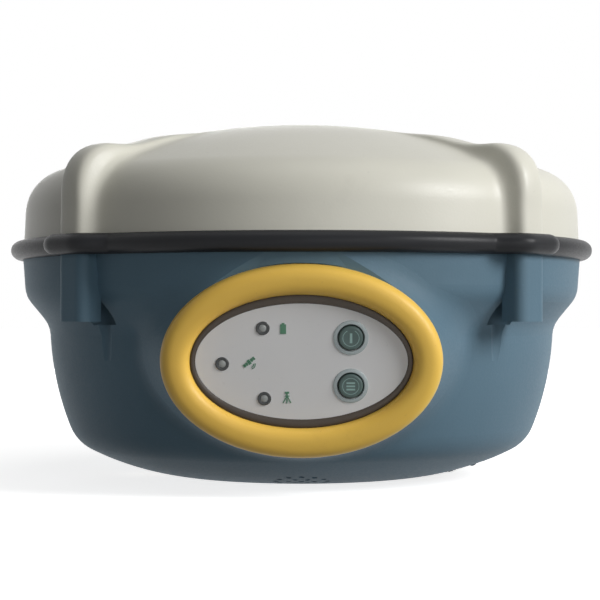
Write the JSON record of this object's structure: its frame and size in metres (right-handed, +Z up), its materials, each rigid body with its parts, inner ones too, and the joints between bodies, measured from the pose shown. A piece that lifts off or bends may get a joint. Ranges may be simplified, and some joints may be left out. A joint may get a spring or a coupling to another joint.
{
  "type": "gnss receiver",
  "caption": "Round survey satellite receiver with domed ridged cover, rubber rim, tilted oval control panel, pole thread, battery door and capped sockets.",
  "frame": {"origin": "centre of the flat foot, on the axis of the pole thread", "axes": "+Z up along the pole axis, -Y out of the front control panel, +X to the right seen from the front"},
  "size_m": [0.195, 0.195, 0.1174],
  "materials": {
    "cover_plastic": "fine satin moulded plastic, warm light grey",
    "housing_plastic": "fine satin moulded plastic, blue-grey",
    "rim_rubber": "black moulded rubber",
    "seal_rubber": "dark brown-black rubber",
    "ring_yellow": "satin moulded plastic, warm yellow",
    "plate_grey": "smooth printed faceplate, silver grey",
    "bezel_metal": "fine satin metal ring",
    "lamp_bezel": "dark ring around a lamp",
    "key_green": "soft dark green key",
    "lens_clear": "translucent light pipe",
    "switch_black": "black moulded switch",
    "lamp_chip": "lamp package",
    "circuit_board": "green solder mask",
    "steel": "plain screw steel",
    "stainless": "turned stainless steel",
    "brass": "turned brass",
    "gold_contact": "gold-plated contact",
    "connector_metal": "nickel-plated connector",
    "insulator": "white insulator",
    "dark_insulator": "black insulator",
    "battery_plastic": "dark grey battery case",
    "foam": "dense black foam",
    "module_can": "tinned shield can",
    "antenna_metal": "plain aluminium sheet",
    "patch_ceramic": "fired ceramic",
    "copper": "copper layer",
    "cable_black": "thin cable jacket",
    "ribbon": "flat flexible cable",
    "speaker_frame": "speaker frame and cone"
  },
  "bodies": {
    "receiver": {"top_cover": "cover_plastic", "rim_seal": "rim_rubber", "lower_housing": "housing_plastic", "panel_ring": "ring_yellow", "panel_seal": "seal_rubber", "panel_plate": "plate_grey", "key_bezels": "bezel_metal", "led_bezels": "lamp_bezel", "led_lenses": "lens_clear", "key_switches": "switch_black", "led_chips": "lamp_chip", "panel_board": "circuit_board", "panel_screws": "steel", "ring_screws": "steel", "panel_ribbon": "ribbon", "case_screws": "steel", "case_inserts": "brass", "pole_insert": "stainless", "pole_insert_screws": "steel", "door_hinge_pin": "stainless", "battery_pack": "battery_plastic", "battery_contact_block": "dark_insulator", "battery_contacts": "gold_contact", "port_shells": "connector_metal", "port_inserts": "dark_insulator", "port_pins": "gold_contact", "port_nuts": "connector_metal", "cap_hinge_pins": "stainless", "antenna_connector": "connector_metal", "antenna_insulator": "insulator", "antenna_pin": "gold_contact", "antenna_nut": "connector_metal", "speaker": "speaker_frame", "lower_standoffs": "brass", "upper_standoffs": "brass", "antenna_screws": "steel", "main_board": "circuit_board", "gnss_module": "module_can", "radio_module": "module_can", "modem_module": "module_can", "backup_cell": "stainless", "antenna_ground_plane": "antenna_metal", "lower_patch": "patch_ceramic", "upper_patch": "patch_ceramic", "patch_radiators": "copper", "antenna_feed_pins": "copper", "lna_board": "circuit_board", "lna_shield": "module_can", "antenna_cable": "cable_black"},
    "power_key": {"power_key": "key_green"},
    "function_key": {"function_key": "key_green"},
    "battery_door": {"battery_door": "housing_plastic", "door_seal": "rim_rubber", "door_pad": "foam"},
    "door_latch": {"door_latch": "stainless", "latch_pawl": "stainless", "latch_screw": "steel"},
    "port_cap_a": {"port_cap_a": "rim_rubber"},
    "port_cap_b": {"port_cap_b": "rim_rubber"}
  },
  "joints": [
    {"name": "power_key_press", "type": "slide", "parent": "receiver", "child": "power_key", "axis": [0, 0.9848, 0.1736], "range_m": [0, 0.0006], "stiffness_N_per_m": 3000},
    {"name": "function_key_press", "type": "slide", "parent": "receiver", "child": "function_key", "axis": [0, 0.9848, 0.1736], "range_m": [0, 0.0006], "stiffness_N_per_m": 3000},
    {"name": "battery_door_hinge", "type": "hinge", "parent": "receiver", "child": "battery_door", "pos_m": [-0.0385, 0.0886, 0.034], "axis": [0, 0, 1], "range_deg": [0, 110]},
    {"name": "door_latch_turn", "type": "hinge", "parent": "battery_door", "child": "door_latch", "pos_m": [0.028, 0.0882, 0.034], "axis": [0, 1, 0], "range_deg": [0, 90]},
    {"name": "port_cap_a_hinge", "type": "hinge", "parent": "receiver", "child": "port_cap_a", "pos_m": [0.056, -0.013, 0.0062], "axis": [0, -1, 0], "range_deg": [0, 110]},
    {"name": "port_cap_b_hinge", "type": "hinge", "parent": "receiver", "child": "port_cap_b", "pos_m": [0.056, 0.013, 0.0062], "axis": [0, -1, 0], "range_deg": [0, 110]}
  ]
}
